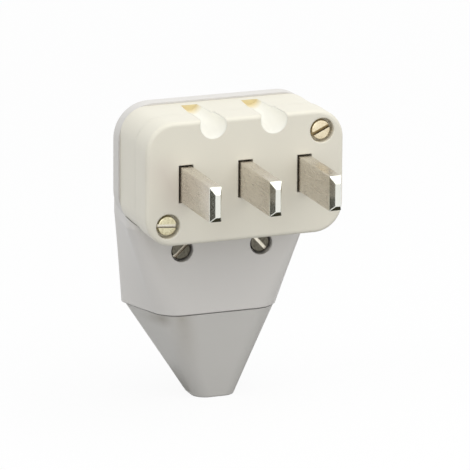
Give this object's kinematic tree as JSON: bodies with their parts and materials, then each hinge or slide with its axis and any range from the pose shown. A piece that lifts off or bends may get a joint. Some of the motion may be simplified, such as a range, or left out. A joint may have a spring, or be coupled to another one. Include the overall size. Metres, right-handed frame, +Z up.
{
  "type": "electrical plug",
  "caption": "Rewirable flat-blade plug with an ivory face, key grooves, and a grey cover that tapers down to a cord outlet.",
  "frame": {"origin": "centre of the contact face, on the axis of the middle blade", "axes": "+X to the right seen from the front, +Y into the plug away from the socket, +Z up; the blades point along -Y and the cord leaves along -Z"},
  "size_m": [0.06, 0.0695, 0.0893],
  "materials": {
    "ivory_moulding": "moulded thermoset, satin",
    "grey_moulding": "moulded plastic, satin",
    "sleeve_moulding": "moulded plastic, satin",
    "saddle_moulding": "moulded plastic, matt",
    "insulating_board": "pressed board, matt",
    "nickel_plate": "nickel plate on brass, satin",
    "zinc_plate": "zinc plate, satin",
    "screw_brass": "turned brass, dulled",
    "screw_steel": "turned steel, dulled"
  },
  "bodies": {
    "root": {"pin_base": "ivory_moulding", "rear_cover": "grey_moulding", "cable_sleeve": "sleeve_moulding", "pin_left": "nickel_plate", "pin_middle": "nickel_plate", "pin_right": "nickel_plate", "clamp_plate_left": "zinc_plate", "clamp_plate_middle": "zinc_plate", "clamp_plate_right": "zinc_plate", "terminal_screw_left": "zinc_plate", "terminal_screw_middle": "zinc_plate", "terminal_screw_right": "zinc_plate", "pin_retainer": "insulating_board", "retainer_screw_left": "zinc_plate", "retainer_screw_right": "zinc_plate", "face_screw_lower": "screw_brass", "face_screw_upper": "screw_brass", "insert_lower": "screw_brass", "insert_upper": "screw_brass", "cord_saddle": "saddle_moulding", "grip_screw_left": "screw_steel", "grip_screw_right": "screw_steel", "grip_nut_left": "zinc_plate", "grip_nut_right": "zinc_plate"}
  },
  "joints": []
}
